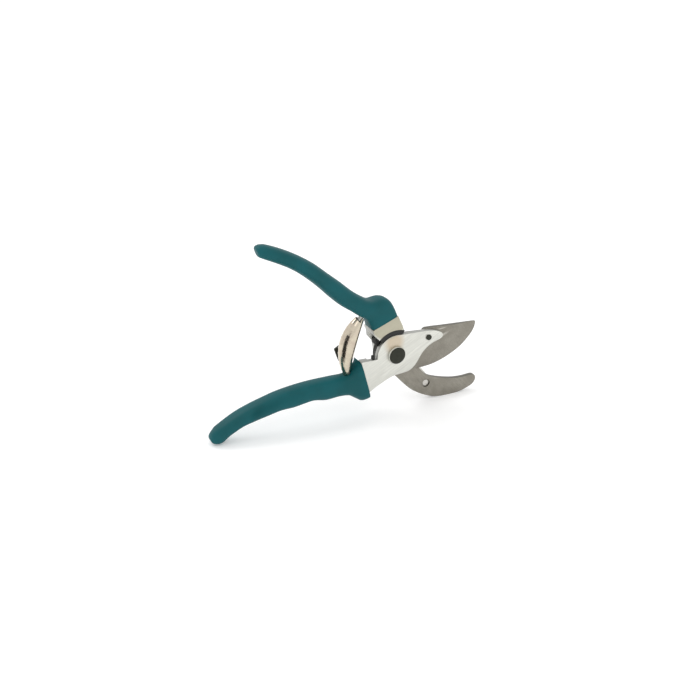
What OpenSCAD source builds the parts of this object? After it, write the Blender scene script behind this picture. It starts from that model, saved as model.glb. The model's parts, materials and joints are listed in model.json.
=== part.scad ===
// Bypass pruning shears, open, standing on edge on the lower grip's end and the hook's belly.
// Drawn about the pivot: X towards the blade tip, Y from the bolt head to the nut, Z up.
// The last step moves the drawing so that the origin is the middle of the base.

/* [Handles and grips] */
// Thickness of both handle castings
casting_t = 15; // [14.4:0.1:18]
// Thickness of the front plate that carries the blade
front_plate_t = 4; // [3.4:0.1:4.8]
// Radius of the front hub
hub_r = 15.3; // [14.2:0.1:15.6]
// Thickness of the tang inside each grip
tang_t = 9; // [7.5:0.1:10.4]
// Grip length factor, behind the spring
grip_stretch = 1; // [0.84:0.01:1.2]
// Thickness of the grip coating over the tang, top and bottom
grip_wall = 1.8; // [1.4:0.1:2.4]
// Half thickness of the grips where the hand holds them
grip_half_y = 8.3; // [7.8:0.1:10]

/* [Blades] */
// Thickness of the cutting blade
blade_t = 3; // [2.4:0.1:3.6]
// Thickness of the hooked counter blade
hook_t = 3.5; // [2.8:0.1:4.2]
// Gap between the two blades
blade_gap = 0.15; // [0.1:0.01:0.3]
// Thickness left along the ground edge
edge_t = 0.15; // [0.1:0.01:0.3]

/* [Pivot] */
// Radius of the pivot bolt's shank
bolt_r = 4; // [3.3:0.1:4.8]
// Radial running clearance on the bolt and on the latch pin
run_gap = 0.05; // [0.02:0.01:0.09]
// How far the bolt's head reaches past the bush
bolt_rim = 1.25; // [1:0.05:1.7]
// Height of the bolt's head
bolt_head_h = 2.4; // [2:0.1:2.9]
// Wall of the bush that the bolt turns in
bush_wall = 1.2; // [1:0.1:1.4]
// Outer radius of the toothed nut
nut_r = 9; // [8:0.1:10.4]
// Height of the toothed nut
nut_h = 3.2; // [2.7:0.1:3.8]
// Teeth round the nut
nut_teeth = 24; // [20:2:28]
// Depth of the nut's teeth
nut_tooth_depth = 0.9; // [0.7:0.05:1.1]
// Handle travel from open to closed, in degrees
closing_angle = 36; // [34:0.5:36]

/* [Spring] */
// Radius of the spring's widest turn
spring_r = 6.3; // [5.8:0.1:6.8]
// Radius of the spring's end turns
spring_end_r = 2.6; // [2.3:0.1:2.7]
// Width of the spring's strip
strip_w = 12; // [10:0.5:14]
// Thickness of the spring's strip
strip_t = 0.45; // [0.35:0.05:0.5]
// Turns in each half of the spring
half_turns = 5; // [4:1:5]

/* [Latch] */
// Thickness of the latch lever
latch_t = 1.8; // [1.5:0.1:2.2]
// Radius of the latch pin
latch_pin_r = 1.6; // [1.4:0.1:1.9]
// Radius of the catch pin on the upper handle
catch_pin_r = 1.5; // [1.3:0.1:1.8]
// Side clearance of the catch pin in the latch's notch
catch_gap = 0.35; // [0.3:0.05:0.5]

/* [Hidden] */
$fn = 64;

// Layers along Y, from the bolt head to the nut
front_y = -casting_t / 2;
rear_y = casting_t / 2;
blade_y0 = front_y + front_plate_t;
blade_y1 = blade_y0 + blade_t;
hook_y0 = blade_y1 + blade_gap;
hook_y1 = hook_y0 + hook_t;
tang_y = tang_t / 2;
cut_over = 1;

// Swept radii about the pivot
cushion_t = 3.85;
cushion_gap = 0.25;
seat_r = hub_r + cushion_gap + cushion_t;
seat_end = [74, 136];
swing_r = seat_r + 2.4;
rear_hub_r = [hub_r - 1.3, hub_r - 3.8];
blade_hub_r = hub_r - 0.6;
hook_hub_r = hub_r - 1.5;

// Where pieces meet, on the X-Z plane
blade_rivet_at = [26.7, 9.3];
hook_rivet_at = [30.2, -32.2];
latch_at = [-29.1, -11.9];
catch_at = [-16.2, 19];
spring_foot = [-36, -12.1];
spring_head = [-25.2, 31];
spring_mid = [-36, 10.8];
segment_dir = 100;
segment_screw_r = 14;

blade_rivet_r = 2.1;
hook_rivet_r = 2.6;
hook_rivet_sink = 0.8;
bush_r = bolt_r + run_gap + bush_wall;
bolt_head_r = bush_r + bolt_rim;
washer_t = 0.6;
spigot_gap = 0.35;
spigot_r = spring_end_r - strip_t - spigot_gap;
spigot_h = 4;
spigot_root = grip_wall + 2.2;
seat_clear = 0.3;
spacer_r = 3;
spacer_gap = 0.2;
side_gap = 0.2;

// Both grips: [top x, top z, bottom x, bottom z, half thickness, squareness], end to front
lower_grip_stations = [
    [-141.6, -40.6, -139.0, -45.0, 4.6, 2.4],
    [-138.8, -35.6, -132.6, -45.2, 6.2, 2.4],
    [-131.5, -31.0, -126.8, -40.6, 7.0, 2.4],
    [-121.5, -25.6, -117.3, -35.6, 7.3, 2.4],
    [-111.5, -21.6, -108.3, -33.2, 7.5, 2.4],
    [-101.5, -18.5, -98.5, -31.0, 7.7, 2.4],
    [-91.0, -15.7, -89.0, -28.9, 8.0, 2.4],
    [-80.7, -13.9, -79.3, -28.4, grip_half_y, 2.4],
    [-72.0, -12.9, -71.0, -27.0, grip_half_y, 2.4],
    [-64.5, -12.3, -64.0, -26.2, grip_half_y, 2.4],
    [-55.0, -12.0, -54.5, -27.7, grip_half_y, 2.5],
    [-46.5, -12.0, -45.0, -26.9, grip_half_y, 2.6],
    [-38.5, -11.9, -37.0, -27.4, grip_half_y, 2.7],
    [-33.3, -9.2, -31.5, -30.7, grip_half_y, 2.8],
    [-29.8, -5.0, -26.3, -34.0, grip_half_y, 3],
    [-28.4, -2.4, -22.2, -33.7, grip_half_y, 3.4],
    [-27.9, -1.8, -19.6, -31.7, grip_half_y, 5]];
upper_grip_stations = [
    [-102.5, 91.8, -101.4, 88.0, 4.2, 2.2],
    [-99.6, 93.8, -100.8, 85.4, 5.8, 2.3],
    [-93.2, 92.4, -96.9, 83.7, 6.6, 2.4],
    [-83.0, 88.3, -87.2, 79.2, 7.2, 2.4],
    [-72.6, 83.0, -77.9, 74.2, 7.6, 2.4],
    [-61.8, 76.2, -68.8, 67.6, 8.0, 2.4],
    [-51.2, 67.5, -59.2, 59.2, grip_half_y, 2.4],
    [-42.2, 60.2, -50.4, 50.4, grip_half_y, 2.4],
    [-34.0, 53.0, -42.4, 43.2, grip_half_y, 2.5],
    [-26.4, 47.5, -35.5, 38.4, grip_half_y, 2.6],
    [-18.8, 43.6, -29.5, 34.0, grip_half_y, 2.8],
    [-10.8, 44.5, -25.0, 31.0, grip_half_y, 3],
    [-4.8, 42.1, -22.2, 28.6, grip_half_y, 3.4],
    [-1.2, 36.2, -20.6, 25.4, grip_half_y, 4.4],
    [1, 30.3, -19.2, 21.8, grip_half_y, 6]];
// Stations behind this one move when the grips are stretched
lower_fixed_x = -46.5;
upper_fixed_x = -34;
tang_from = 2;
grip_sides = 24;
grip_steps = 3;
grip_round = 0.7;

// ---------- curves ----------
function catmull(a, b, c, d, t) =
    0.5 * (2 * b + (c - a) * t + (2 * a - 5 * b + 4 * c - d) * t * t + (3 * b - a - 3 * c + d) * t * t * t);
function through(p, n) = [
    for (i = [0 : len(p) - 2]) for (k = [0 : n - 1])
        catmull(p[max(i - 1, 0)], p[i], p[i + 1], p[min(i + 2, len(p) - 1)], k / n),
    p[len(p) - 1]];
function on_circle(r, a) = r * [cos(a), sin(a)];
function arc(c, r, a0, a1, n) = [for (i = [0 : n]) c + on_circle(r, a0 + (a1 - a0) * i / n)];
function turned(p, a) = [p[0] * cos(a) - p[1] * sin(a), p[0] * sin(a) + p[1] * cos(a)];
function bearing(v) = atan2(v[1], v[0]);
function backwards(p) = [for (i = [len(p) - 1 : -1 : 0]) p[i]];
function power(v, e) = sign(v) * pow(abs(v), e);

// ---------- bodies along Y ----------
module slab(y0, y1) {
    translate([0, y1, 0]) rotate([90, 0, 0]) linear_extrude(y1 - y0) children();
}
module rod(at, r, y0, y1) {
    translate([at[0], y0, at[1]]) rotate([-90, 0, 0]) cylinder(r = r, h = y1 - y0);
}
// Part frame: base at Z = 0, middle of the length and of the depth at the origin
hook_belly_z = -46;
length_from = stretched(lower_grip_stations, lower_fixed_x)[0][0];
length_to = 74.7;
depth_from = front_y - bolt_head_h - run_gap;
latch_y0 = grip_half_y + side_gap + 0.2;
latch_y1 = latch_y0 + latch_t;
latch_head_h = 1.1;
depth_to = latch_y1 + side_gap + latch_head_h;
module placed() {
    translate([-(length_from + length_to) / 2, -(depth_from + depth_to) / 2, -hook_belly_z]) children();
}

// ---------- grips ----------
// Moves the stations behind x0 outwards along the grip
function stretched(s, x0) = [for (r = s)
    let (k = r[0] < x0 ? (r[0] - x0) * (grip_stretch - 1) : 0) [r[0] + k, r[1], r[2] + k, r[3], r[4], r[5]]];
// One ring of a grip: n points of a rounded section between its top and its bottom point
function row_mid(r) = [r[0] + r[2], r[1] + r[3]] / 2;
function row_half(r) = [r[0] - r[2], r[1] - r[3]] / 2;
function grip_ring(r, inset = 0) =
    let (mid = row_mid(r), half = row_half(r), k = 1 - inset / norm(half))
    [for (j = [0 : grip_sides - 1]) let (a = 360 * j / grip_sides,
        u = power(cos(a), 2 / r[5]) * k, v = power(sin(a), 2 / r[5]) * (r[4] - inset))
        [mid[0] + half[0] * u, v, mid[1] + half[1] * u]];
// Faces of a tube of rings, closed with a fan at both ends
function ring_faces(rings, n) = concat(
    [for (i = [0 : rings - 2]) for (j = [0 : n - 1]) [i * n + j, i * n + (j + 1) % n, (i + 1) * n + j]],
    [for (i = [0 : rings - 2]) for (j = [0 : n - 1])
        [i * n + (j + 1) % n, (i + 1) * n + (j + 1) % n, (i + 1) * n + j]],
    [[for (j = [n - 1 : -1 : 0]) j]],
    [[for (j = [0 : n - 1]) (rings - 1) * n + j]]);
// Point at height z on the line where a grip ends
function on_border(s, z) = let (r = s[len(s) - 1]) [r[0] + (r[2] - r[0]) * (z - r[1]) / (r[3] - r[1]), z];
border_inset = 0.1;
// The stations with one more row, run on past the grip's front end
function run_in(s) = let (n = len(s) - 1)
    concat(s, [[for (i = [0 : 5]) i < 4 ? 1.3 * s[n][i] - 0.3 * s[n - 1][i] : s[n][i]]]);
function flat(l) = [for (a = l) for (b = a) b];
module swept(rings) {
    polyhedron(points = flat(rings), faces = ring_faces(len(rings), len(rings[0])), convexity = 6);
}
// Shrunk first ring and inset last ring give the grip its rounded ends
module grip_skin(s) {
    rows = through(s, grip_steps);
    last = rows[len(rows) - 1];
    before = rows[len(rows) - 2];
    step = [for (i = [0 : 5]) i < 4 ? last[i] + (before[i] - last[i]) * 0.45 : last[i]];
    swept(concat([grip_ring(rows[0], 1.6)], [for (i = [0 : len(rows) - 2]) grip_ring(rows[i])],
        [grip_ring(step), grip_ring(last, grip_round)]));
}
// Outline of the tang that a grip covers; the lists run along the top and back along the bottom
function tang_edge(s, top, wall) = [for (r = s)
    let (mid = row_mid(r), half = row_half(r), k = 1 - wall / norm(half))
    mid + half * k * (top ? 1 : -1)];
function tang_rows(s) = let (rows = through(s, grip_steps))
    [for (i = [tang_from * grip_steps : len(rows) - 1]) rows[i]];
module tang_outline(s, wall) {
    rows = tang_rows(s);
    polygon(concat(tang_edge(rows, true, wall), backwards(tang_edge(rows, false, wall))));
}
module tang_hollow(s) {
    slab(-tang_y, tang_y) tang_outline(run_in(s), grip_wall);
}
// Stub that centres an end turn of the spring; up is the direction that it points in
module spigot(at, up, r, below, above) {
    translate([at[0], 0, at[1]]) rotate([0, 90 - bearing(up), 0])
        translate([0, 0, -below]) cylinder(r = r, h = below + above);
}
spring_ctrl = 2 * spring_mid - (spring_foot + spring_head) / 2;
foot_up = spring_ctrl - spring_foot;
head_up = spring_ctrl - spring_head;
lower_rows = stretched(lower_grip_stations, lower_fixed_x);
upper_rows = stretched(upper_grip_stations, upper_fixed_x);

// ---------- lower handle and what rides on it ----------
shoulder_z = -1.2;
shoulder_y = -1.5;
shoulder_low = -6.5;
shoulder_angle = 180 + asin(-shoulder_z / hub_r);
nose_top = [[8, hub_r - 0.3], [19, 14.9], [27, 14.5], [33, 13.4], [37.4, 11.4], [38.7, 8.9]];
nose_under = [[36.6, 6.6], [31, 4.7], [25.6, 1.6], [21.6, -2.4], [18.9, -6.6], [16.3, -10.6], [13, -13.7]];
border_low = on_border(lower_grip_stations, -26.1);
belly = [[9.5, -15.2], [4, -15.9], [-2, -16.7], [-8, -19], [-15, -22.5], border_low];
border_high = on_border(lower_grip_stations, shoulder_z);
module front_plate_outline() {
    polygon(concat([border_high], arc([0, 0], hub_r, shoulder_angle, 88, 22),
        through(concat(nose_top, nose_under, belly), 4)));
}
// The part of the plate's outline below a height that the upper handle's heel never sweeps
module shoulder(high) {
    difference() {
        intersection() {
            front_plate_outline();
            translate([-50, high - 50]) square(50);
        }
        circle(r = swing_r);
    }
}
module lower_handle() {
    color("gainsboro") difference() {
        union() {
            slab(front_y, blade_y0) front_plate_outline();
            slab(front_y, shoulder_y) shoulder(shoulder_z);
            slab(front_y, rear_y) shoulder(shoulder_low);
            slab(-tang_y, tang_y) tang_outline(run_in(lower_rows), grip_wall);
            spigot(spring_foot, foot_up, spigot_r, spigot_root, spigot_h);
        }
        rod([0, 0], bush_r, front_y - cut_over, rear_y);
        rod(blade_rivet_at, blade_rivet_r, front_y - cut_over, rear_y);
        rod(latch_at, latch_pin_r, -tang_y / 2, rear_y);
    }
}
module lower_grip() {
    color("teal") difference() {
        grip_skin(lower_rows);
        tang_hollow(lower_rows);
        spigot(spring_foot, foot_up, spigot_r, spigot_root, spigot_h);
        spigot(spring_foot, foot_up, spring_end_r + seat_clear, seat_clear, spigot_h);
        rod(latch_at, spacer_r + spacer_gap, 0, rear_y + grip_half_y);
    }
}
// Ground face of the blade: rows run from the tip to the heel
blade_spine = [[24.1, 13.4], [26, 15.2], [40, 14.6], [55, 14], [67.5, 13.5], [70.2, 13], [70.9, 11.8]];
blade_edge = [[70.2, 8], [68.1, 4], [64.9, 0.2], [60.1, -4.5], [55, -8.1], [49.9, -10.9],
    [44.8, -13.2], [39.7, -15], [34.7, -16.4], [29.7, -17.1], [24, -17.4]];
blade_heel = [[18.5, -16.4], [12.5, -12.8]];
grind_start = [[51.8, 15.4], [48.6, 11.4], [45.4, 7.9], [42.2, 5.6], [36.5, 4.4], [31.4, 2.4],
    [27, -1], [23.2, -5.2], [20.2, -10], [18, -16.8]];
grind_end = [[72.8, 13.9], [70.7, 8.2], [67.4, 2.6], [62.6, -2.6], [57, -7.3], [50, -11.2],
    [42.8, -14.5], [36.4, -16.3], [30, -17.4], [22, -18.2]];
grind_past = 0.12;
module grind_cut() {
    rows = through([for (i = [0 : len(grind_start) - 1]) concat(grind_start[i], grind_end[i])], 3);
    fall = blade_t - edge_t;
    rings = [for (r = rows) let (a = [r[0], r[1]], b = [r[2], r[3]], c = b + (b - a) * grind_past,
        y = blade_y0 + fall * (1 + grind_past), y_out = blade_y0 - cut_over)
        [[a[0], y_out, a[1]], [c[0], y_out, c[1]], [c[0], y, c[1]], [a[0], blade_y0, a[1]]]];
    swept(rings);
}
module cutting_blade() {
    color("dimgray") difference() {
        union() {
            rod([0, 0], blade_hub_r, blade_y0, blade_y1);
            slab(blade_y0, blade_y1) polygon(concat([[0, 0], on_circle(blade_hub_r - 0.1, 80)],
                through(blade_spine, 2), through(concat(blade_edge, blade_heel), 3),
                [on_circle(blade_hub_r - 0.1, -60)]));
        }
        grind_cut();
        rod([0, 0], bush_r, blade_y0 - cut_over, blade_y1 + cut_over);
        rod(blade_rivet_at, blade_rivet_r, blade_y0 - cut_over, blade_y1 + cut_over);
    }
}
rivet_proud = 0.8;
module blade_rivet() {
    color("#2b2a26") rod(blade_rivet_at, blade_rivet_r, front_y - rivet_proud, blade_y1);
}
bumper_x = [-18.9, -17.1];
bumper_h = 3;
module closing_bumper() {
    corner = 0.9;
    low = shoulder_z;
    color("#1c1c1c") slab(front_y + 0.5, blade_y0 - side_gap) polygon(concat(
        [[bumper_x[1], low], [bumper_x[0], low]],
        arc([bumper_x[0] + corner, low + bumper_h - corner], corner, 180, 90, 5),
        arc([bumper_x[1] - corner, low + bumper_h - corner], corner, 90, 0, 5)));
}
module pivot_bush() {
    color("goldenrod") difference() {
        rod([0, 0], bush_r, front_y, blade_y1);
        rod([0, 0], bolt_r + run_gap, front_y - cut_over, blade_y1 + cut_over);
    }
}
module latch_pin() {
    head_y = latch_y1 + side_gap;
    color("#1c1c1c") {
        rod(latch_at, latch_pin_r, -tang_y / 2, head_y + latch_head_h / 2);
        rod(latch_at, spacer_r - 0.8, head_y, head_y + latch_head_h);
    }
}
module latch_spacer() {
    color("silver") difference() {
        rod(latch_at, spacer_r, tang_y, latch_y0 - side_gap / 2);
        rod(latch_at, latch_pin_r, 0, latch_y0 + cut_over);
    }
}

// ---------- upper handle and what rides on it ----------
border_top = upper_grip_stations[14][1] - border_inset;
border_end = upper_grip_stations[14][3] + border_inset;
collar_right = [on_border(upper_rows, border_top), [2.4, 26.8], [4.3, 22.8], [5.6, 19.2]];
seat_foot = on_circle(seat_r, seat_end[1]);
collar_left = [seat_foot + [-0.7, 0.9], [-17.9, 17.9], [-18.9, 21],
    on_border(upper_rows, border_end)];
neck = [[5.6, 19.4], [11.5, 8], [11, 0], [-11.8, 0], [-12.4, 4.5],
    seat_foot + [0.7, -5.2], seat_foot + [-3.3, -0.3], collar_left[1]];
arm_end_r = 5.2;
// Four corners of the band that touches two circles on both sides
function band(c1, r1, c2, r2) = let (d = c2 - c1, a = bearing(d), b = acos((r1 - r2) / norm(d)))
    [c1 + on_circle(r1, a + b), c2 + on_circle(r2, a + b),
    c2 + on_circle(r2, a - b), c1 + on_circle(r1, a - b)];
module upper_handle() {
    screw_at = on_circle(segment_screw_r, segment_dir);
    color("gainsboro") difference() {
        union() {
            slab(front_y, rear_y) polygon(concat(collar_right,
                arc([0, 0], seat_r, seat_end[0], seat_end[1], 20), collar_left));
            slab(hook_y1, rear_y) polygon(neck);
            slab(hook_y1, rear_y) polygon(band([0, 0], rear_hub_r[1] - 3, hook_rivet_at, arm_end_r));
            translate([0, hook_y1, 0]) rotate([-90, 0, 0])
                cylinder(r1 = rear_hub_r[0], r2 = rear_hub_r[1], h = rear_y - hook_y1);
            rod(hook_rivet_at, arm_end_r, hook_y1, rear_y);
            slab(-tang_y, tang_y) tang_outline(run_in(upper_rows), grip_wall);
            spigot(spring_head, head_up, spigot_r, spigot_root, spigot_h);
        }
        rod([0, 0], bolt_r, front_y, rear_y + cut_over);
        rod(hook_rivet_at, hook_rivet_r, hook_y1 - cut_over, rear_y + cut_over);
        rod(screw_at, screw_r, rear_y - screw_depth, rear_y + cut_over);
        rod(catch_at, catch_pin_r, 0, rear_y + cut_over);
    }
}
module upper_grip() {
    color("teal") difference() {
        grip_skin(upper_rows);
        tang_hollow(upper_rows);
        spigot(spring_head, head_up, spigot_r, spigot_root, spigot_h);
        spigot(spring_head, head_up, spring_end_r + seat_clear, seat_clear, spigot_h);
    }
}
hook_inner = [[12.5, -4], [17, -9], [20.4, -13.4], [23.7, -18.2], [26.7, -21.7], [29.7, -24.6], [32.7, -26.5],
    [36, -27.9], [40, -29.3], [45, -30.7], [50, -31.9], [55, -32.8], [60, -33.2], [65, -33.2], [69.8, -32.8]];
hook_tip = [[73.2, -33.2], [74.7, -35.7], [74.1, -38.7], [71.9, -41.2]];
hook_outer = [[68.6, -42.8], [64.6, -44.3], [59.6, -45.4], [54, -45.9], [48, -46], [42, -45.7], [36, -44.6],
    [30, -42.3], [24.6, -39.6], [19.6, -36.5], [15.6, -33.4], [11.6, -29.5], [7.6, -25.1], [3.6, -21],
    [-0.4, -17.2], [-4.4, -13.9]];
module counter_blade() {
    sink_r = hook_rivet_r + 0.6;
    color("dimgray") difference() {
        union() {
            rod([0, 0], hook_hub_r, hook_y0, hook_y1);
            slab(hook_y0, hook_y1)
                polygon(concat([[0, 0]], through(concat(hook_inner, hook_tip, hook_outer), 2)));
        }
        rod([0, 0], bolt_r, hook_y0 - cut_over, hook_y1 + cut_over);
        rod(hook_rivet_at, hook_rivet_r, hook_y0 - cut_over, hook_y1 + cut_over);
        rod(hook_rivet_at, sink_r, hook_y0 - cut_over, hook_y0 + hook_rivet_sink + 0.6);
    }
}
rivet_head_h = 1.2;
module hook_rivet() {
    color("silver") {
        rod(hook_rivet_at, hook_rivet_r, hook_y0 + hook_rivet_sink, rear_y + rivet_head_h / 2);
        rod(hook_rivet_at, hook_rivet_r + 1, rear_y, rear_y + rivet_head_h);
    }
}
// Liner between the collar's seat and the front hub, with a foot under the collar's corner
cushion_foot = [for (p = [[-0.4, 0], [-1, -1.5], [-1.1, -3.5], [-0.7, -5]]) seat_foot + p];
cushion_start = 87;
cushion_end = 70.5;
module rubber_cushion() {
    inner_r = hub_r + cushion_gap;
    color("#1c1c1c") union() {
        slab(front_y + 0.4, blade_y1) polygon(concat(
            arc([0, 0], seat_r, cushion_end, seat_end[1] - 1, 20),
            arc([0, 0], inner_r, seat_end[1] - 1, cushion_start, 20), [[5.6, inner_r]]));
        slab(blade_y0 + side_gap, hook_y1) polygon(concat(
            arc([0, 0], inner_r, seat_end[1] - 3, 151, 6), backwards(cushion_foot),
            [seat_foot]));
    }
}
module friction_washer() {
    color("goldenrod") difference() {
        rod([0, 0], nut_r - nut_tooth_depth - 0.4, rear_y, rear_y + washer_t);
        rod([0, 0], bolt_r, rear_y - cut_over, rear_y + washer_t + cut_over);
    }
}
bolt_past_nut = 0.4;
bolt_end = rear_y + washer_t + nut_h + bolt_past_nut;
module pivot_bolt() {
    crown = 0.6;
    color("#2b2a26") union() {
        translate([0, front_y - run_gap, 0]) rotate([90, 0, 0]) rotate_extrude() polygon(concat(
            [[0, 0], [bolt_head_r, 0], [bolt_head_r, bolt_head_h - crown]],
            [for (i = [1 : 6]) [bolt_head_r * cos(15 * i), bolt_head_h - crown + crown * sin(15 * i)]]));
        rod([0, 0], bolt_r, front_y - run_gap, bolt_end);
    }
}
// Round teeth about the pivot; grow moves the whole outline outwards
module toothed(grow) {
    polygon([for (i = [0 : nut_teeth * 6 - 1]) let (a = 60 * i / nut_teeth)
        on_circle(nut_r + grow - nut_tooth_depth / 2 * (1 - cos(nut_teeth * a)), a)]);
}
module pivot_nut() {
    color("#2b2a26") difference() {
        slab(rear_y + washer_t, rear_y + washer_t + nut_h) toothed(0);
        rod([0, 0], bolt_r, rear_y, bolt_end + cut_over);
    }
}
segment_t = 1.6;
segment_end_r = 4.2;
screw_r = 1.5;
screw_depth = 3.6;
screw_head_r = 2.7;
screw_head_h = 1.3;
module nut_lock_segment() {
    screw_at = on_circle(segment_screw_r, segment_dir);
    color("silver") difference() {
        union() {
            slab(rear_y, rear_y + segment_t) polygon(band([0, 0], nut_r - 2, screw_at, segment_end_r));
            rod(screw_at, segment_end_r, rear_y, rear_y + segment_t);
        }
        slab(rear_y - cut_over, rear_y + segment_t + cut_over) toothed(0.15);
        slab(rear_y - cut_over, rear_y + segment_t + cut_over)
            rotate(segment_dir) translate([-20, -20]) square([22, 40]);
        rod(screw_at, screw_r, rear_y - cut_over, rear_y + segment_t + cut_over);
    }
}
module lock_screw() {
    screw_at = on_circle(segment_screw_r, segment_dir);
    top = rear_y + segment_t;
    color("silver") difference() {
        union() {
            rod(screw_at, screw_r, rear_y - screw_depth, top);
            rod(screw_at, screw_head_r, top, top + screw_head_h);
        }
        translate([screw_at[0], top + screw_head_h, screw_at[1]])
            cube([2 * screw_head_r + 1, 1.2, 0.8], center = true);
    }
}
module catch_pin() {
    color("silver") rod(catch_at, catch_pin_r, 0, latch_y1 + side_gap);
}

// ---------- latch ----------
// The catch pin's place when the handles are closed fixes the notch; knob_at is the lever's end at rest
knob_at = [-40.4, 4.5];
catch_closed = turned(catch_at, closing_angle);
notch_dist = norm(catch_closed - latch_at);
knob_dist = norm(knob_at - latch_at);
notch_off = 2.4;
latch_root_r = 3.6;
knob_r = 1.6;
beak_wall = 1.2;
beak_low = 4;
module latch_lever() {
    notch_r = catch_pin_r + catch_gap;
    notch_x = sqrt(notch_dist * notch_dist - notch_off * notch_off);
    beak = notch_x + notch_r + beak_wall;
    color("#1c1c1c") translate([latch_at[0], 0, latch_at[1]])
        rotate([0, -bearing(knob_at - latch_at), 0]) difference() {
            union() {
                rod([0, 0], latch_root_r, latch_y0, latch_y1);
                rod([knob_dist, 0], knob_r, latch_y0, latch_y1);
                slab(latch_y0, latch_y1) polygon(band([0, 0], latch_root_r - 1.2, [knob_dist, 0], knob_r));
                slab(latch_y0, latch_y1) polygon([[-0.4, 0], [0, latch_root_r - 0.1],
                    [0.32 * knob_dist, latch_root_r + 0.4], [0.63 * knob_dist, latch_root_r],
                    [knob_dist + 0.6, knob_r - 0.2], [knob_dist, 0]]);
                slab(latch_y0, latch_y1) polygon([[notch_x - 5.5, 0], [notch_x - 3.8, 0.8 - beak_low],
                    [notch_x - 2.6, -beak_low], [beak - 0.6, -beak_low], [beak, 0.8 - beak_low], [beak, 0.6]]);
            }
            rod([notch_x, -notch_off], notch_r, latch_y0 - cut_over, latch_y1 + cut_over);
            slab(latch_y0 - cut_over, latch_y1 + cut_over)
                translate([notch_x - notch_r, -notch_off - 8]) square([2 * notch_r, 8]);
            rod([0, 0], latch_pin_r + run_gap, latch_y0 - cut_over, latch_y1 + cut_over);
        }
}

// ---------- volute spring ----------
// One flat strip, wound outwards to the middle and back in again about a bent axis
spring_len = norm(spring_foot - spring_mid) + norm(spring_head - spring_mid);
turn_steps = 24;
end_half_w = strip_w / 2;
spring_pitch = (spring_len / 2 - end_half_w - 0.3) / half_turns;
function axis_at(t) = (1 - t) * (1 - t) * spring_foot + 2 * t * (1 - t) * spring_ctrl + t * t * spring_head;
function axis_dir(t) =
    let (d = (1 - t) * (spring_ctrl - spring_foot) + t * (spring_head - spring_ctrl)) d / norm(d);
function on_strip(r, a, s) = let (t = s / spring_len, c = axis_at(t), d = axis_dir(t))
    [c[0] - r * cos(a) * d[1], r * sin(a), c[1] + r * cos(a) * d[0]];
// Half width of the strip at a number of turns from the middle
function ramp(v, a, b) = min(max((v - a) / (b - a), 0), 1);
function half_w(turns) = let (k = ramp(turns, 0.95, 1.4), e = ramp(turns, half_turns - 1.4, half_turns - 0.4))
    spring_pitch * (0.47 * (1 - k) + 0.65 * k) * (1 - e) + end_half_w * e;
// Each turn lies inside the next wider one
strip_step = strip_t + 0.05;
spring_fall = spring_r - spring_end_r - strip_step * half_turns;
module volute_spring() {
    color("tan") swept([for (i = [0 : 2 * half_turns * turn_steps]) let (
        turns = i / turn_steps - half_turns, away = abs(turns), a = 360 * turns + 90,
        r = spring_r - strip_step * away - spring_fall * pow(away / half_turns, 2),
        r_in = r - strip_t,
        s = spring_len / 2 + turns * spring_pitch, h = half_w(away))
        [on_strip(r, a, s - h), on_strip(r, a, s + h), on_strip(r_in, a, s + h), on_strip(r_in, a, s - h)]]);
}

placed() lower_handle();
placed() lower_grip();
placed() cutting_blade();
placed() blade_rivet();
placed() closing_bumper();
placed() pivot_bush();
placed() latch_pin();
placed() latch_spacer();
placed() upper_handle();
placed() upper_grip();
placed() counter_blade();
placed() hook_rivet();
placed() rubber_cushion();
placed() friction_washer();
placed() pivot_bolt();
placed() pivot_nut();
placed() nut_lock_segment();
placed() lock_screw();
placed() catch_pin();
placed() latch_lever();
placed() volute_spring();
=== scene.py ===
"""Pruning shears: finished pieces, materials and stage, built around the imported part."""

import json
import math

import bmesh
import bpy
from bpy.props import FloatProperty, FloatVectorProperty, IntProperty, PointerProperty
from bpy.types import Operator, Panel, PropertyGroup
from mathutils import Matrix, Vector


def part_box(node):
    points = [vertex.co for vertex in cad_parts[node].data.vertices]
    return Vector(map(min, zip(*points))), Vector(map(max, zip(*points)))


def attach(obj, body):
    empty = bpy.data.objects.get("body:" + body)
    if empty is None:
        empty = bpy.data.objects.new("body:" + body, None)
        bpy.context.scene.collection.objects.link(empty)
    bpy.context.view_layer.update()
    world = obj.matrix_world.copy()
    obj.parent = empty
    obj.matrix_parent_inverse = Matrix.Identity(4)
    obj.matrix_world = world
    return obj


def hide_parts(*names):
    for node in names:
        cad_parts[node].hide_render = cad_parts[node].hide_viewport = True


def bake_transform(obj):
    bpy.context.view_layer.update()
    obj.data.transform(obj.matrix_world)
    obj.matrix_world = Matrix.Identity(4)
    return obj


bl_info = {
    "name": "Pruning Shears",
    "version": (1, 0, 0),
    "blender": (4, 5, 0),
    "location": "View3D > Sidebar > Shears",
    "description": "Makes the pieces of a pair of pruning shears and the stage that they stand on",
    "category": "Object",
}

MM = 0.001
SPRING_STEPS = 32  # rings in each turn of the spring
STRIP_REACH = 0.56  # half of the strip's width, in turns
STRIP_ENDS = 0.8  # turns that the strip's own width adds to the spring's length
UPPER_FALL = 2.2  # how late the spring narrows towards its upper end
LOWER_FALL = 1.6  # and towards its lower end

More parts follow.
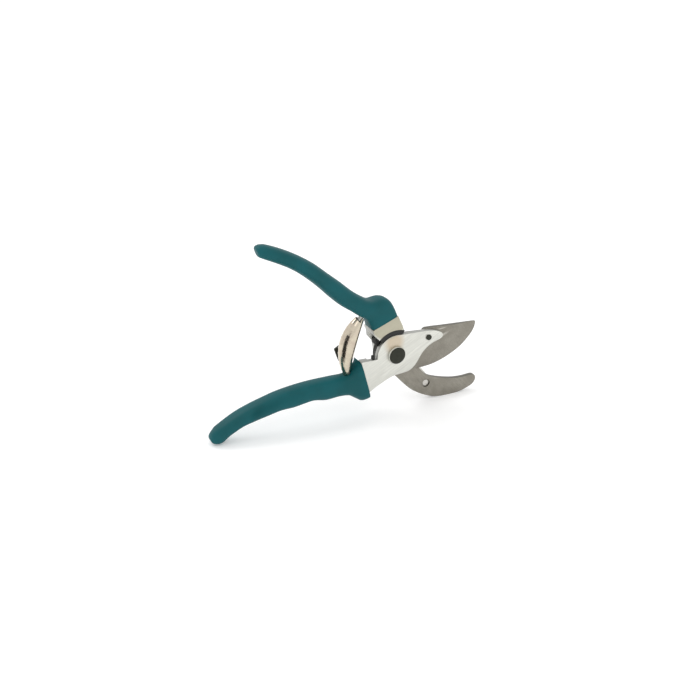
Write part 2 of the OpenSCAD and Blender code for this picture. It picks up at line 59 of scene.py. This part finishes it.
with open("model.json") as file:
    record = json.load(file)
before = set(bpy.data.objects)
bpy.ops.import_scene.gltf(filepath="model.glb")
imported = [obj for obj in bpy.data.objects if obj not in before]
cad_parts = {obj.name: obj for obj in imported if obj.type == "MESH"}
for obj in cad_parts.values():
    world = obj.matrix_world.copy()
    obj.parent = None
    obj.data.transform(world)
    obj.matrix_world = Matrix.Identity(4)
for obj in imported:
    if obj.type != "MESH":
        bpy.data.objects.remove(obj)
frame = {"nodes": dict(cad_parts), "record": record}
NODES = frame["nodes"]
RECORD = frame["record"]
BODIES = RECORD["behaviour"]["bodies"]
BODY_OF = {node: body for body, nodes in BODIES.items() for node in nodes}
SLOT_OF = {part["node"]: part["material_slot"] for part in RECORD["subparts"]}
JOINTS = {joint["name"]: joint for joint in RECORD["behaviour"]["joints"]}
PIVOT = Vector(JOINTS["handle_hinge"]["pos_m"])
# Foot, middle and head of the spring's axis, from the pivot, in millimetres.
SPRING_AXIS = ((-36.0, -0.925, -11.7), (-36.0, -0.925, 10.8), (-25.4, -0.925, 30.8))


# ---------- sizes and colours ----------


def length(name, value_mm, low_mm=0.0, high_mm=1000.0, about=""):
    """A length setting, given in millimetres and kept in metres."""
    return FloatProperty(name=name, description=about, default=value_mm * MM, min=low_mm * MM,
                         max=high_mm * MM, unit="LENGTH", precision=5)


def colour(name, rgb, about=""):
    """A linear colour setting."""
    return FloatVectorProperty(name=name, description=about, default=rgb, size=3, min=0.0, max=1.0,
                               subtype="COLOR")


class ShearsSizes(PropertyGroup):
    """Sizes that the finished pieces add to the plain parts."""

    casting_edge: length("Casting edge", 0.35, 0.05, 1, "Rounding of the castings' edges")
    blade_edge: length("Blade edge", 0.12, 0.02, 0.5, "Rounding of the blades' edges")
    small_edge: length("Small edge", 0.2, 0.02, 0.5, "Rounding of pins, nuts and screws")
    rubber_edge: length("Rubber edge", 0.3, 0.05, 0.6, "Rounding of the rubber pieces")
    grip_edge: length("Grip edge", 1.1, 0.05, 1.5, "Rounding of the grips' ends")
    grip_tip: length("Grip tip", 5.0, 0, 20, "Length of the softened end of a grip")
    spring_wide: length("Spring radius", 6.3, 4, 8, "Radius of the spring's widest turn")
    spring_upper: length("Spring upper radius", 2.75, 2, 4, "Radius at the upper end")
    spring_lower: length("Spring lower radius", 2.6, 2, 4, "Radius at the lower end")
    spring_strip: length("Spring strip", 0.4, 0.2, 1, "Thickness of the spring's strip")
    spring_lift: length("Spring lift", 0.1, 0, 0.4, "Step from one turn to the next")
    spring_turns: IntProperty(name="Spring turns", description="Turns of the strip", default=11,
                              min=5, max=20)


class ShearsColours(PropertyGroup):
    """Colours of the finishes."""

    grip: colour("Grip", (0.001, 0.090, 0.103), "Vinyl coating of the grips")
    grip_deep: colour("Grip, deep", (0.0, 0.072, 0.080), "Darker mottling of the coating")
    alloy: colour("Alloy", (0.725, 0.725, 0.67), "Cast handles")
    # Narrow sides of the castings: as-cast grey, darkened further as painted shade
    alloy_side_shaded: colour("Alloy, side", (0.40, 0.40, 0.375), "Cast sides of the handles")
    alloy_warm: colour("Alloy, warm", (0.57, 0.475, 0.35), "Warm tint of the cast handles")
    alloy_beige: colour("Alloy, beige", (0.46, 0.435, 0.34), "Upper casting's shaded front")
    blade: colour("Blade", (0.265, 0.248, 0.21), "Blade steel")
    blade_flat: colour("Blade, flat", (0.50, 0.48, 0.43), "Bright flat by the blade's rivet")
    blade_light: colour("Blade, light", (0.325, 0.308, 0.265), "Lighter mottling of the steel")
    # Painted shade: darker narrow sides of the blades
    blade_side: colour("Blade, side", (0.17, 0.163, 0.14), "Scale left on the blades' sides")
    # Painted shade: near-black blade sides inside the crevice round the pivot
    hub_crevice_shade: colour("Hub, side", (0.03, 0.029, 0.025), "Grease and scale round the hubs")
    dark_steel: colour("Dark steel", (0.026, 0.028, 0.019), "Blackened bolt, nut and rivet")
    bright_steel: colour("Bright steel", (0.62, 0.60, 0.56), "Plated rivet, pins and screw")
    bronze: colour("Bronze", (0.55, 0.38, 0.17), "Bush and washer")
    rubber: colour("Rubber", (0.012, 0.012, 0.011), "Cushion and bumper")
    spring: colour("Spring", (0.63, 0.57, 0.45), "Spring strip")
    spring_pink: colour("Spring, pink", (0.56, 0.48, 0.39), "Rosy tint along the strip")


class ShearsStage(PropertyGroup):
    """Camera, floor and lights."""

    azimuth: FloatProperty(name="Azimuth", description="Camera's angle round the shears",
                           default=math.radians(-24), subtype="ANGLE")
    elevation: FloatProperty(name="Elevation", description="Camera's angle above the horizon",
                             default=math.radians(23.27), subtype="ANGLE")
    distance: length("Distance", 600, 100, 5000, "From the camera to the point that it looks at")
    lens: FloatProperty(name="Lens", description="Focal length in millimetres", default=44.47)
    aim: FloatVectorProperty(name="Aim", description="Point that the camera looks at",
                             default=PIVOT + Vector((-40.82, 1.08, 15.17)) * MM, size=3,
                             unit="LENGTH")
    floor_size: length("Floor size", 80000, 500, 200000, "Width of the floor")
    floor: colour("Floor", (0.90, 0.90, 0.90), "Floor and backdrop")
    glow: FloatProperty(name="Floor glow", description="Light of the floor's own, to whiten it",
                        default=0.17)
    sky: FloatProperty(name="Sky", description="Strength of the light from all round", default=1.0)
    key: FloatProperty(name="Key", description="Power of the main light, in watts", default=2.0)
    fill: FloatProperty(name="Fill", description="Power of the fill light, in watts", default=0.7)


# ---------- shader groups and materials ----------


def new_group(name, inputs, outputs):
    """An empty shader group with float or vector inputs and float outputs."""
    group = bpy.data.node_groups.new(name, "ShaderNodeTree")
    for socket, kind, value in inputs:
        made = group.interface.new_socket(socket, in_out="INPUT", socket_type=kind)
        if value is not None:
            made.default_value = value
    for socket in outputs:
        group.interface.new_socket(socket, in_out="OUTPUT", socket_type="NodeSocketFloat")
    return group


def noise(tree, vector, scale, detail=3.0, rough=0.5):
    """A noise texture on a vector; scale is a number or a socket."""
    node = tree.nodes.new("ShaderNodeTexNoise")
    node.inputs["Detail"].default_value = detail
    node.inputs["Roughness"].default_value = rough
    tree.links.new(vector, node.inputs["Vector"])
    if isinstance(scale, (int, float)):
        node.inputs["Scale"].default_value = scale
    else:
        tree.links.new(scale, node.inputs["Scale"])
    return node.outputs["Fac"]


def ramp(tree, value, low, high, out_low=0.0, out_high=1.0):
    """Value stretched from low..high to out_low..out_high, and clamped."""
    node = tree.nodes.new("ShaderNodeMapRange")
    node.inputs["From Min"].default_value = low
    node.inputs["From Max"].default_value = high
    node.inputs["To Min"].default_value = out_low
    node.inputs["To Max"].default_value = out_high
    tree.links.new(value, node.inputs["Value"])
    return node.outputs["Result"]


def multiply(tree, a, b):
    """Product of two sockets."""
    node = tree.nodes.new("ShaderNodeMath")
    node.operation = "MULTIPLY"
    tree.links.new(a, node.inputs[0])
    tree.links.new(b, node.inputs[1])
    return node.outputs[0]


def mottling_group():
    """Broad patches and fine grain, for any finish."""
    if "mottling" in bpy.data.node_groups:
        return bpy.data.node_groups["mottling"]
    group = new_group("mottling", [("Vector", "NodeSocketVector", None),
                                   ("Broad Scale", "NodeSocketFloat", 40.0),
                                   ("Fine Scale", "NodeSocketFloat", 900.0)], ["Broad", "Fine"])
    into = group.nodes.new("NodeGroupInput")
    out = group.nodes.new("NodeGroupOutput")
    broad = noise(group, into.outputs["Vector"], into.outputs["Broad Scale"], 3.0)
    fine = noise(group, into.outputs["Vector"], into.outputs["Fine Scale"], 5.0, 0.6)
    group.links.new(ramp(group, broad, 0.35, 0.65), out.inputs["Broad"])
    group.links.new(ramp(group, fine, 0.3, 0.7), out.inputs["Fine"])
    return group


def edge_wear_group():
    """Rubbed edges: the rounded edges' own attribute, broken up by noise."""
    if "edge wear" in bpy.data.node_groups:
        return bpy.data.node_groups["edge wear"]
    group = new_group("edge wear", [("Vector", "NodeSocketVector", None),
                                    ("Amount", "NodeSocketFloat", 1.0)], ["Wear"])
    into = group.nodes.new("NodeGroupInput")
    out = group.nodes.new("NodeGroupOutput")
    edge = group.nodes.new("ShaderNodeAttribute")
    edge.attribute_name = "edge_wear"
    broken = ramp(group, noise(group, into.outputs["Vector"], 350.0, 3.0), 0.35, 0.6, 0.25, 1.0)
    rubbed = multiply(group, edge.outputs["Fac"], broken)
    group.links.new(multiply(group, rubbed, into.outputs["Amount"]), out.inputs["Wear"])
    return group


def brushing_group():
    """Fine parallel scratches along the vector's X."""
    if "brushing" in bpy.data.node_groups:
        return bpy.data.node_groups["brushing"]
    group = new_group("brushing", [("Vector", "NodeSocketVector", None),
                                   ("Scale", "NodeSocketFloat", 1.0)], ["Scratches"])
    into = group.nodes.new("NodeGroupInput")
    out = group.nodes.new("NodeGroupOutput")
    stretch = group.nodes.new("ShaderNodeVectorMath")
    stretch.operation = "MULTIPLY"
    stretch.inputs[1].default_value = (60, 900, 900)
    group.links.new(into.outputs["Vector"], stretch.inputs[0])
    scratches = noise(group, stretch.outputs["Vector"], into.outputs["Scale"], 4.0, 0.65)
    group.links.new(ramp(group, scratches, 0.3, 0.7), out.inputs["Scratches"])
    return group


class Finish:
    """A material under construction: its tree, its shader and the piece's own coordinates."""

    def __init__(self, name, turn=(0.0, 0.0, 0.0)):
        self.material = bpy.data.materials.new(name)
        self.material.use_nodes = True
        self.tree = self.material.node_tree
        self.shader = self.tree.nodes["Principled BSDF"]
        place = self.tree.nodes.new("ShaderNodeTexCoord")
        mapping = self.tree.nodes.new("ShaderNodeMapping")
        mapping.inputs["Rotation"].default_value = turn
        self.tree.links.new(place.outputs["Object"], mapping.inputs["Vector"])
        self.vector = mapping.outputs["Vector"]

    def plain(self, **values):
        """Sets the shader's own numbers."""
        for name, value in values.items():
            self.shader.inputs[name.replace("_", " ")].default_value = value
        return self

    def group(self, made, **values):
        """Places a shader group on the piece's coordinates and returns its outputs."""
        node = self.tree.nodes.new("ShaderNodeGroup")
        node.node_tree = made
        self.tree.links.new(self.vector, node.inputs["Vector"])
        for name, value in values.items():
            node.inputs[name.replace("_", " ")].default_value = value
        return node.outputs

    def mix(self, factor, low, high):
        """Colour between low and high; each is a colour or a socket."""
        node = self.tree.nodes.new("ShaderNodeMix")
        node.data_type = "RGBA"
        self.tree.links.new(factor, node.inputs["Factor"])
        for name, value in (("A", low), ("B", high)):
            socket = [s for s in node.inputs if s.name == name and s.type == "RGBA"][0]
            if isinstance(value, bpy.types.NodeSocket):
                self.tree.links.new(value, socket)
            else:
                socket.default_value = (*value, 1.0)
        return [s for s in node.outputs if s.type == "RGBA"][0]

    def facing(self, low, high):
        """1 on the faces square to Y, falling to 0 on the narrow sides."""
        place = self.tree.nodes.new("ShaderNodeTexCoord")
        split = self.tree.nodes.new("ShaderNodeSeparateXYZ")
        self.tree.links.new(place.outputs["Normal"], split.inputs["Vector"])
        size = self.tree.nodes.new("ShaderNodeMath")
        size.operation = "ABSOLUTE"
        self.tree.links.new(split.outputs["Y"], size.inputs[0])
        return ramp(self.tree, size.outputs[0], low, high)

    def beyond(self, axis, low, high):
        """0 below low along an axis, rising to 1 at high."""
        place = self.tree.nodes.new("ShaderNodeTexCoord")
        split = self.tree.nodes.new("ShaderNodeSeparateXYZ")
        self.tree.links.new(place.outputs["Object"], split.inputs["Vector"])
        return ramp(self.tree, split.outputs[axis], low, high)

    def near(self, centre, inner, outer):
        """1 within inner of a point, falling to 0 at outer."""
        away = self.tree.nodes.new("ShaderNodeVectorMath")
        away.operation = "DISTANCE"
        away.inputs[1].default_value = centre
        place = self.tree.nodes.new("ShaderNodeTexCoord")
        self.tree.links.new(place.outputs["Object"], away.inputs[0])
        return ramp(self.tree, away.outputs["Value"], inner, outer, 1.0, 0.0)

    def colour(self, socket):
        """Feeds the base colour."""
        self.tree.links.new(socket, self.shader.inputs["Base Color"])
        return self

    def roughness(self, value, low, high):
        """Feeds the roughness from a 0..1 value."""
        rough = ramp(self.tree, value, 0, 1, low, high)
        self.tree.links.new(rough, self.shader.inputs["Roughness"])
        return self

    def bump(self, height, depth, strength=1.0):
        """Feeds the normal from a height; depth is in metres."""
        node = self.tree.nodes.new("ShaderNodeBump")
        node.inputs["Strength"].default_value = strength
        node.inputs["Distance"].default_value = depth
        self.tree.links.new(height, node.inputs["Height"])
        self.tree.links.new(node.outputs["Normal"], self.shader.inputs["Normal"])
        return self


def grip_vinyl(colours):
    """Dipped vinyl: soft sheen, faint mottling and a fine pebbled skin."""
    made = Finish("grip_vinyl").plain(Metallic=0.0, Specular_IOR_Level=0.22)
    skin = made.group(mottling_group(), Broad_Scale=45.0, Fine_Scale=1400.0)
    made.colour(made.mix(skin["Broad"], colours.grip_deep, colours.grip))
    made.roughness(skin["Broad"], 0.46, 0.54)
    return made.bump(skin["Fine"], 0.03 * MM, 0.35).material


def handle_alloy(colours):
    """Cast alloy, linished on its faces, warm above the pivot and beige on the collar; the narrow
    as-cast sides are darkened further with painted shade.
    """
    made = Finish("handle_alloy", (0.0, math.radians(30), 0.0)).plain(Metallic=0.85)
    skin = made.group(mottling_group(), Broad_Scale=70.0, Fine_Scale=1000.0)
    scratches = made.group(brushing_group(), Scale=1.0)["Scratches"]
    wear = made.group(edge_wear_group(), Amount=0.6)["Wear"]
    above_pivot = made.near(PIVOT + Vector((-2.0, -8.4, 10.0)) * MM, 4.5 * MM, 9.5 * MM)
    warm = multiply(made.tree, above_pivot, ramp(made.tree, skin["Broad"], 0, 1, 0.75, 1.0))
    cast = made.mix(scratches, [0.82 * c for c in colours.alloy], [1.04 * c for c in colours.alloy])
    collar = made.near(PIVOT + Vector((-7.0, -8.4, 28.5)) * MM, 14.0 * MM, 16.0 * MM)
    front = made.mix(collar, made.mix(warm, cast, colours.alloy_warm), colours.alloy_beige)
    # Painted shade: faces that turn away from square to Y take the darker side colour
    sides_shaded = made.mix(made.facing(0.35, 0.8), colours.alloy_side_shaded, front)
    made.colour(made.mix(wear, sides_shaded, (0.74, 0.74, 0.71)))
    made.roughness(scratches, 0.34, 0.48)
    return made.bump(scratches, 0.02 * MM, 0.5).material


def blade_steel(colours):
    """Matt ground blade steel; its narrow sides are darkened, and made near black round the hub, as
    painted shade.
    """
    made = Finish("blade_steel", (0.0, math.radians(-50), 0.0)).plain(Metallic=0.9)
    skin = made.group(mottling_group(), Broad_Scale=110.0, Fine_Scale=1500.0)
    scratches = made.group(brushing_group(), Scale=1.3)["Scratches"]
    wear = made.group(edge_wear_group(), Amount=0.5)["Wear"]
    steel = made.mix(skin["Broad"], colours.blade, colours.blade_light)
    grain = multiply(made.tree, scratches, skin["Fine"])
    ground = made.mix(grain, steel, [0.8 * c for c in colours.blade])
    flat = multiply(made.tree, made.facing(0.9975, 0.9995),
                    made.near(PIVOT + Vector((36.5, -4.4, 9.5)) * MM, 6.5 * MM, 12.0 * MM))
    worn = made.mix(wear, ground, [1.3 * c for c in colours.blade])
    front = made.mix(flat, worn, colours.blade_flat)
    # Painted shade: within the hub's crevice the narrow sides turn near black
    hub_shade_mask = made.near(PIVOT, 16.0 * MM, 18.0 * MM)
    side = made.mix(hub_shade_mask, colours.blade_side, colours.hub_crevice_shade)
    # Painted shade: the narrow sides take the shaded side colours, the faces square to Y keep the
    # steel
    made.colour(made.mix(made.facing(0.35, 0.7), side, front))
    made.roughness(skin["Fine"], 0.40, 0.56)
    return made.bump(scratches, 0.02 * MM, 0.5).material


def dark_steel(colours):
    """Blackened steel with rubbed edges."""
    made = Finish("dark_steel").plain(Metallic=0.3, Specular_IOR_Level=0.3)
    skin = made.group(mottling_group(), Broad_Scale=300.0, Fine_Scale=2500.0)
    wear = made.group(edge_wear_group(), Amount=0.35)["Wear"]
    black = made.mix(skin["Broad"], [0.8 * c for c in colours.dark_steel], colours.dark_steel)
    worn = made.mix(wear, black, (0.10, 0.10, 0.085))
    rim = made.near(PIVOT + Vector((0.0, -9.2, 0.0)) * MM, 7.0 * MM, 7.3 * MM)
    side = made.mix(rim, worn, colours.alloy)
    made.colour(made.mix(made.beyond("Y", PIVOT.y - 10.35 * MM, PIVOT.y - 10.2 * MM), worn, side))
    made.roughness(skin["Fine"], 0.38, 0.5)
    return made.bump(skin["Fine"], 0.02 * MM, 0.4).material


def bright_steel(colours):
    """Bright plated steel."""
    made = Finish("bright_steel").plain(Metallic=1.0)
    skin = made.group(mottling_group(), Broad_Scale=250.0, Fine_Scale=2000.0)
    made.colour(made.mix(skin["Broad"], [0.88 * c for c in colours.bright_steel],
                         colours.bright_steel))
    made.roughness(skin["Fine"], 0.22, 0.36)
    return made.bump(skin["Fine"], 0.01 * MM, 0.3).material


def bearing_bronze(colours):
    """Oiled bronze."""
    made = Finish("bearing_bronze").plain(Metallic=1.0)
    skin = made.group(mottling_group(), Broad_Scale=250.0, Fine_Scale=2000.0)
    made.colour(made.mix(skin["Broad"], [0.8 * c for c in colours.bronze], colours.bronze))
    return made.roughness(skin["Fine"], 0.3, 0.45).material


def black_rubber(colours):
    """Matt rubber."""
    made = Finish("black_rubber").plain(Metallic=0.0)
    skin = made.group(mottling_group(), Broad_Scale=200.0, Fine_Scale=1500.0)
    made.colour(made.mix(skin["Broad"], colours.rubber, [1.4 * c for c in colours.rubber]))
    made.roughness(skin["Fine"], 0.6, 0.75)
    return made.bump(skin["Fine"], 0.03 * MM, 0.4).material


def spring_steel(colours):
    """Bright rolled strip, a little rosy in places."""
    made = Finish("spring_steel", (0.0, math.radians(85), 0.0)).plain(Metallic=1.0)
    skin = made.group(mottling_group(), Broad_Scale=160.0, Fine_Scale=1800.0)
    scratches = made.group(brushing_group(), Scale=1.2)["Scratches"]
    wear = made.group(edge_wear_group(), Amount=0.5)["Wear"]
    strip = made.mix(skin["Broad"], colours.spring, colours.spring_pink)
    made.colour(made.mix(wear, strip, (0.84, 0.78, 0.68)))
    made.roughness(scratches, 0.16, 0.26)
    return made.bump(scratches, 0.005 * MM, 0.2).material


FINISHES = {maker.__name__: maker for maker in (
    grip_vinyl, handle_alloy, blade_steel, dark_steel, bright_steel, bearing_bronze, black_rubber,
    spring_steel)}


def finish_of(slot):
    """The material of a slot, made when it is first wanted."""
    if slot not in bpy.data.materials or not bpy.data.materials[slot].get("shears"):
        made = FINISHES[slot](bpy.context.scene.shears_colours)
        made.name = slot
        made["shears"] = True
        return made
    return bpy.data.materials[slot]


# ---------- shapes ----------


def piece_from(bm, name, node, smooth_angle=math.radians(35)):
    """An object from a bmesh: it stands for a CAD node, hides it and takes its finish."""
    mesh = bpy.data.meshes.new(name)
    bm.to_mesh(mesh)
    bm.free()
    mesh.shade_smooth()
    mesh.set_sharp_from_angle(angle=smooth_angle)
    obj = bpy.data.objects.new(name, mesh)
    bpy.context.scene.collection.objects.link(obj)
    mesh.materials.append(finish_of(SLOT_OF[node]))
    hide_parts(node)
    return obj


def welded(node, flat_angle=math.radians(0.6)):
    """A copy of a CAD node's mesh as a bmesh, with its corners merged and its flat faces whole."""
    bm = bmesh.new()
    bm.from_mesh(NODES[node].data)
    bmesh.ops.remove_doubles(bm, verts=bm.verts, dist=2e-6)
    if flat_angle:
        bmesh.ops.dissolve_limit(bm, angle_limit=flat_angle, verts=bm.verts, edges=bm.edges,
                                 use_dissolve_boundaries=False)
    return bm


def round_edges(bm, width, segments=2, over=math.radians(32)):
    """Rounds every edge sharper than an angle, and marks the rounded faces as worn."""
    sharp = [e for e in bm.edges if len(e.link_faces) == 2 and e.calc_face_angle(0) > over]
    made = bmesh.ops.bevel(bm, geom=sharp, offset=width, offset_type="OFFSET", affect="EDGES",
                           segments=segments, profile=0.5, material=-1, clamp_overlap=True)
    worn = bm.loops.layers.float.new("edge_wear")
    for face in made["faces"]:
        for loop in face.loops:
            loop[worn] = 1.0
    return bm


def polished(node, width, segments=2):
    """The finished copy of a CAD node: rounded, shaded and riding on its body."""
    obj = piece_from(round_edges(welded(node), width, segments), node + "_finished", node)
    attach(obj, BODY_OF[node])
    return obj


# ---------- operators ----------


class SHEARS_OT_castings(Operator):
    """Both handle castings"""

    bl_idname = "shears.castings"
    bl_label = "Castings"

    def execute(self, context):
        for node in ("lower_handle", "upper_handle"):
            polished(node, context.scene.shears_sizes.casting_edge)
        return {"FINISHED"}


class SHEARS_OT_grips(Operator):
    """Both vinyl grips"""

    bl_idname = "shears.grips"
    bl_label = "Grips"

    def execute(self, context):
        for node in ("lower_grip", "upper_grip"):
            bm = welded(node, 0)
            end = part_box(node)[0].x + context.scene.shears_sizes.grip_tip
            tip = [v for v in bm.verts if v.co.x < end]
            for _ in range(3):
                bmesh.ops.smooth_vert(bm, verts=tip, factor=0.5, use_axis_x=True, use_axis_y=True,
                                      use_axis_z=True)
            round_edges(bm, context.scene.shears_sizes.grip_edge, 4)
            obj = piece_from(bm, node + "_finished", node, math.radians(50))
            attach(obj, BODY_OF[node])
        return {"FINISHED"}


class SHEARS_OT_blades(Operator):
    """Cutting blade and counter blade"""

    bl_idname = "shears.blades"
    bl_label = "Blades"

    def execute(self, context):
        for node in ("cutting_blade", "counter_blade"):
            polished(node, context.scene.shears_sizes.blade_edge)
        return {"FINISHED"}


class SHEARS_OT_fasteners(Operator):
    """Bolt, nut, lock segment and screw, washer, bush and rivets"""

    bl_idname = "shears.fasteners"
    bl_label = "Pivot and rivets"

    def execute(self, context):
        for node in ("pivot_bolt", "pivot_nut", "nut_lock_segment", "lock_screw", "friction_washer",
                     "pivot_bush", "blade_rivet", "hook_rivet"):
            polished(node, context.scene.shears_sizes.small_edge)
        return {"FINISHED"}


class SHEARS_OT_rubber(Operator):
    """Cushion and closing bumper"""

    bl_idname = "shears.rubber"
    bl_label = "Rubber"

    def execute(self, context):
        for node in ("rubber_cushion", "closing_bumper"):
            polished(node, context.scene.shears_sizes.rubber_edge)
        return {"FINISHED"}


class SHEARS_OT_latch(Operator):
    """Latch lever with its pin and spacer, and the catch pin"""

    bl_idname = "shears.latch"
    bl_label = "Latch"

    def execute(self, context):
        for node in ("latch_lever", "latch_pin", "latch_spacer", "catch_pin"):
            polished(node, context.scene.shears_sizes.small_edge)
        return {"FINISHED"}


class SHEARS_OT_spring(Operator):
    """Volute spring between the handles"""

    bl_idname = "shears.spring"
    bl_label = "Spring"

    def execute(self, context):
        sizes = context.scene.shears_sizes
        obj = piece_from(self.strip(sizes), "volute_spring_finished", "volute_spring",
                         math.radians(50))
        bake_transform(obj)
        return {"FINISHED"}

    def strip(self, sizes):
        """One strip wound about the bent axis; each turn's outer edge stands a little proud."""
        foot, middle, head = (PIVOT + Vector(p) * MM for p in SPRING_AXIS)
        bend = 2 * middle - (foot + head) / 2
        half = sizes.spring_turns / 2
        steps = sizes.spring_turns * SPRING_STEPS
        bm = bmesh.new()
        rows = []
        for i in range(steps + 1):
            turn = i / SPRING_STEPS - half
            angle = math.tau * turn + math.pi / 2
            row = []
            for end, inner in ((-STRIP_REACH, 0), (STRIP_REACH, 0), (STRIP_REACH, 1),
                               (-STRIP_REACH, 1)):
                t = min(max(0.5 + (turn + end) / (2 * half + STRIP_ENDS), 0.0), 1.0)
                proud = sizes.spring_lift if (end > 0) == (turn > 0) else 0.0
                radius = self.envelope(sizes, t) + proud - inner * sizes.spring_strip
                centre = (1 - t) ** 2 * foot + 2 * t * (1 - t) * bend + t * t * head
                along = ((1 - t) * (bend - foot) + t * (head - bend)).normalized()
                side = Vector((-along.z, 0.0, along.x))
                row.append(bm.verts.new(centre + radius * (math.cos(angle) * side +
                                                           Vector((0.0, math.sin(angle), 0.0)))))
            rows.append(row)
        for before, after in zip(rows, rows[1:]):
            for k in range(4):
                bm.faces.new((before[k], before[(k + 1) % 4], after[(k + 1) % 4], after[k]))
        bm.faces.new(rows[0][::-1])
        bm.faces.new(rows[-1])
        bmesh.ops.recalc_face_normals(bm, faces=bm.faces)
        return bm

    def envelope(self, sizes, t):
        """Outer radius of the spring at a share of its length."""
        away = abs(2 * t - 1)
        end = sizes.spring_upper if t > 0.5 else sizes.spring_lower
        fall = UPPER_FALL if t > 0.5 else LOWER_FALL
        return end + (sizes.spring_wide - sizes.spring_lift - end) * (1 - away ** fall)


class SHEARS_OT_stage(Operator):
    """Floor, lights and camera"""

    bl_idname = "shears.stage"
    bl_label = "Stage"

    def execute(self, context):
        stage = context.scene.shears_stage
        self.floor(stage)
        self.lights(context, stage)
        self.camera(context, stage)
        return {"FINISHED"}

    def floor(self, stage):
        bm = bmesh.new()
        bmesh.ops.create_grid(bm, x_segments=1, y_segments=1, size=stage.floor_size / 2)
        mesh = bpy.data.meshes.new("floor")
        bm.to_mesh(mesh)
        bm.free()
        obj = bpy.data.objects.new("floor", mesh)
        bpy.context.scene.collection.objects.link(obj)
        made = bpy.data.materials.new("floor_white")
        made.use_nodes = True
        shader = made.node_tree.nodes["Principled BSDF"]
        shader.inputs["Base Color"].default_value = (*stage.floor, 1.0)
        shader.inputs["Roughness"].default_value = 0.9
        shader.inputs["Specular IOR Level"].default_value = 0.0
        shader.inputs["Emission Color"].default_value = (1.0, 1.0, 1.0, 1.0)
        shader.inputs["Emission Strength"].default_value = stage.glow
        mesh.materials.append(made)

    def lights(self, context, stage):
        world = bpy.data.worlds.new("studio")
        world.use_nodes = True
        sky = world.node_tree.nodes["Background"]
        sky.inputs["Color"].default_value = (1.0, 1.0, 1.0, 1.0)
        sky.inputs["Strength"].default_value = stage.sky
        context.scene.world = world
        self.softbox("key_light", Vector((-0.45, 0.5, 0.9)), 0.5, stage.key)
        self.softbox("fill_light", Vector((-0.2, -0.7, 0.8)), 0.6, stage.fill)
        self.card(PIVOT + Vector((-0.036, 0.0, 0.0)), math.radians(-57), 0.07, (0.062, 0.09))
        context.scene.view_settings.view_transform = "Standard"

    def softbox(self, name, place, size, power):
        data = bpy.data.lights.new(name, "AREA")
        data.shape = "DISK"
        data.size = size
        data.energy = power
        obj = bpy.data.objects.new(name, data)
        obj.location = place
        obj.rotation_euler = (PIVOT - place).to_track_quat("-Z", "Y").to_euler()
        bpy.context.scene.collection.objects.link(obj)

    def card(self, seen_from, azimuth, away, size):
        """A black card that only shows in reflections: it gives the spring its dark band."""
        bm = bmesh.new()
        bmesh.ops.create_grid(bm, x_segments=1, y_segments=1, size=0.5)
        bmesh.ops.scale(bm, vec=(*size, 1.0), verts=bm.verts)
        bmesh.ops.rotate(bm, matrix=Matrix.Rotation(math.radians(90), 3, "X"), verts=bm.verts)
        bmesh.ops.rotate(bm, matrix=Matrix.Rotation(azimuth, 3, "Z"), verts=bm.verts)
        place = seen_from + Vector((math.sin(azimuth), -math.cos(azimuth), 0.0)) * away
        bmesh.ops.translate(bm, vec=(place.x, place.y, size[1] / 2), verts=bm.verts)
        mesh = bpy.data.meshes.new("reflection_card")
        bm.to_mesh(mesh)
        bm.free()
        obj = bpy.data.objects.new("reflection_card", mesh)
        bpy.context.scene.collection.objects.link(obj)
        made = bpy.data.materials.new("card_black")
        made.use_nodes = True
        shader = made.node_tree.nodes["Principled BSDF"]
        shader.inputs["Base Color"].default_value = (0.02, 0.02, 0.02, 1.0)
        shader.inputs["Roughness"].default_value = 0.9
        mesh.materials.append(made)
        obj.visible_camera = False
        obj.visible_diffuse = False
        obj.visible_shadow = False

    def camera(self, context, stage):
        data = bpy.data.cameras.new("camera")
        data.lens = stage.lens
        data.clip_start = 0.01
        obj = bpy.data.objects.new("camera", data)
        across = math.cos(stage.elevation)
        back = Vector((math.sin(stage.azimuth) * across, -math.cos(stage.azimuth) * across,
                       math.sin(stage.elevation)))
        obj.location = Vector(stage.aim) + back * stage.distance
        obj.rotation_euler = (-back).to_track_quat("-Z", "Y").to_euler()
        context.scene.collection.objects.link(obj)
        context.scene.camera = obj


class SHEARS_PT_panel(Panel):
    """Sizes, colours and the buttons that make each group of pieces"""

    bl_idname = "SHEARS_PT_panel"
    bl_label = "Pruning Shears"
    bl_space_type = "VIEW_3D"
    bl_region_type = "UI"
    bl_category = "Shears"

    def draw(self, context):
        for settings in (context.scene.shears_sizes, context.scene.shears_colours,
                         context.scene.shears_stage):
            box = self.layout.box()
            for name in settings.bl_rna.properties.keys():
                if name not in ("rna_type", "name"):
                    box.prop(settings, name)
        for operator in OPERATORS:
            self.layout.operator(operator.bl_idname)


OPERATORS = (SHEARS_OT_castings, SHEARS_OT_grips, SHEARS_OT_blades, SHEARS_OT_fasteners,
             SHEARS_OT_rubber, SHEARS_OT_latch, SHEARS_OT_spring, SHEARS_OT_stage)
SETTINGS = {"shears_sizes": ShearsSizes, "shears_colours": ShearsColours, "shears_stage": ShearsStage}


def register():
    for made in (*SETTINGS.values(), *OPERATORS, SHEARS_PT_panel):
        bpy.utils.register_class(made)
    for name, made in SETTINGS.items():
        setattr(bpy.types.Scene, name, PointerProperty(type=made))


def unregister():
    for name in SETTINGS:
        delattr(bpy.types.Scene, name)
    for made in reversed((*SETTINGS.values(), *OPERATORS, SHEARS_PT_panel)):
        bpy.utils.unregister_class(made)


def main():
    """Makes everything in order."""
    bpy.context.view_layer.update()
    register()
    for operator in OPERATORS:
        group, name = operator.bl_idname.split(".")
        getattr(getattr(bpy.ops, group), name)()


if __name__ == "__main__":
    main()
